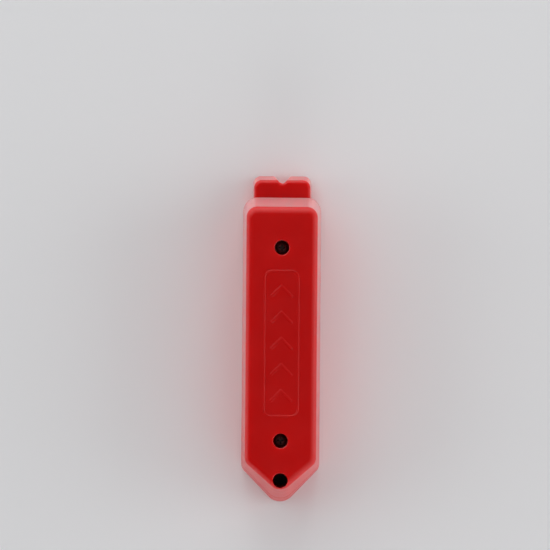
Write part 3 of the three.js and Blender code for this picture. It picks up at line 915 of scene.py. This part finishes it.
red = red_plastic()
finish_piece(front_housing(), red, "front_housing", "red_plastic")
finish_piece(back_cover(), red, "back_cover", "red_plastic")
finish_piece(foam_pad(), foam(), "magnet_pad", "black_foam", NO_SHARP_ANGLE)
oxide = black_oxide()
for screw_name in SCREW_BOXES:
    finish_piece(screw(screw_name), oxide, screw_name, "black_screw")
for slot_name, metal, plates in (
    ("magnet_nickel", nickel(), ("finder_magnet", "nail_magnet")),
    ("keeper_steel", zinc_steel(), ("finder_keeper", "nail_keeper")),
):
    for plate_name in plates:
        finish_piece(plate(plate_name), metal, plate_name, slot_name)

# ------------------------------------------------------------------ stage, light and camera

# Floor
FLOOR_HALF = 3000.0
FLOOR_CLEARANCE = 0.05

# Surroundings: strengths, the heights between which they fade on the way up, and the two ends of the object
HORIZON = 1.4
ZENITH = 0.05
FADE_FROM = 0.05
FADE_TO = 0.6
NOSE_SIDE = 0.8
END_SIDE = 1.3
SKY_COLOUR = (0.97, 0.98, 1.0, 1)

# Lights, in metres and watts. The small ones stand low on the four sides.
KEY_PLACE = (-0.45, 1.05, 0.80)
KEY_POWER = 7.6
FILL_PLACE = (0.95, -0.35, 0.75)
FILL_POWER = 4.8
BIG_SIDE = 1.8
SIDES = {"left": (-1, 0), "right": (1, 0), "nose": (0, -1), "end": (0, 1)}
SIDE_DISTANCE = 1.25
SIDE_HEIGHT = 0.35
SIDE_POWER = 4.0
SMALL_SIDE = 0.8

# Camera, in millimetres and degrees
SENSOR = 36.0
LENS = 251.6
CAMERA_PLACE = Vector((-2.07, 19.9, 1200.0))
CAMERA_ROLL = 0.45
VIEW_DISTANCE = 20000.0


def stage_floor():
    half = FLOOR_HALF
    z = cad_box[0].z / MM - FLOOR_CLEARANCE
    corners = [(-half, -half, z), (half, -half, z), (half, half, z), (-half, half, z)]
    floor = new_object("floor", corners, [(0, 1, 2, 3)])
    floor.data.materials.append(pale_floor())


def world():
    """Pale surroundings: bright near the horizon, dim overhead and brighter behind the ledge."""
    made = bpy.data.worlds.new("studio")
    bpy.context.scene.world = made
    made.use_nodes = True
    tree = made.node_tree
    background = tree.nodes["Background"]
    coordinates = tree.nodes.new("ShaderNodeTexCoord")
    split = tree.nodes.new("ShaderNodeSeparateXYZ")
    tree.links.new(coordinates.outputs["Generated"], split.inputs[0])
    product = tree.nodes.new("ShaderNodeMath")
    product.operation = "MULTIPLY"
    upwards = ramp(tree, split.outputs["Z"], FADE_FROM, FADE_TO, HORIZON, ZENITH)
    lengthwise = ramp(tree, split.outputs["Y"], -1, 1, NOSE_SIDE, END_SIDE)
    tree.links.new(upwards, product.inputs[0])
    tree.links.new(lengthwise, product.inputs[1])
    tree.links.new(product.outputs[0], background.inputs["Strength"])
    background.inputs["Color"].default_value = SKY_COLOUR


def soft_box(name, place, size, power, highlights=True):
    """Square light that looks at the object. Without highlights it isn't mirrored in the plastic."""
    light = bpy.data.lights.new(name, "AREA")
    light.shape = "SQUARE"
    light.size = size
    light.energy = power
    obj = bpy.data.objects.new(name, light)
    obj.location = place
    obj.rotation_euler = (-Vector(place)).to_track_quat("-Z", "Y").to_euler()
    obj.visible_camera = False
    obj.visible_glossy = highlights
    bpy.context.scene.collection.objects.link(obj)


def camera():
    """Camera straight above the front face, slightly off the object's centre."""
    data = bpy.data.cameras.new("camera")
    data.sensor_width = SENSOR
    data.lens = LENS
    data.clip_end = VIEW_DISTANCE * MM
    obj = bpy.data.objects.new("camera", data)
    obj.location = CAMERA_PLACE * MM
    obj.rotation_euler = (0, 0, math.radians(CAMERA_ROLL))
    bpy.context.scene.collection.objects.link(obj)
    bpy.context.scene.camera = obj


stage_floor()
world()
soft_box("key", KEY_PLACE, BIG_SIDE, KEY_POWER)
soft_box("fill", FILL_PLACE, BIG_SIDE, FILL_POWER)
for side, (x, y) in SIDES.items():
    soft_box(side, (SIDE_DISTANCE * x, SIDE_DISTANCE * y, SIDE_HEIGHT), SMALL_SIDE, SIDE_POWER, False)
camera()
bpy.context.scene.view_settings.view_transform = "Standard"
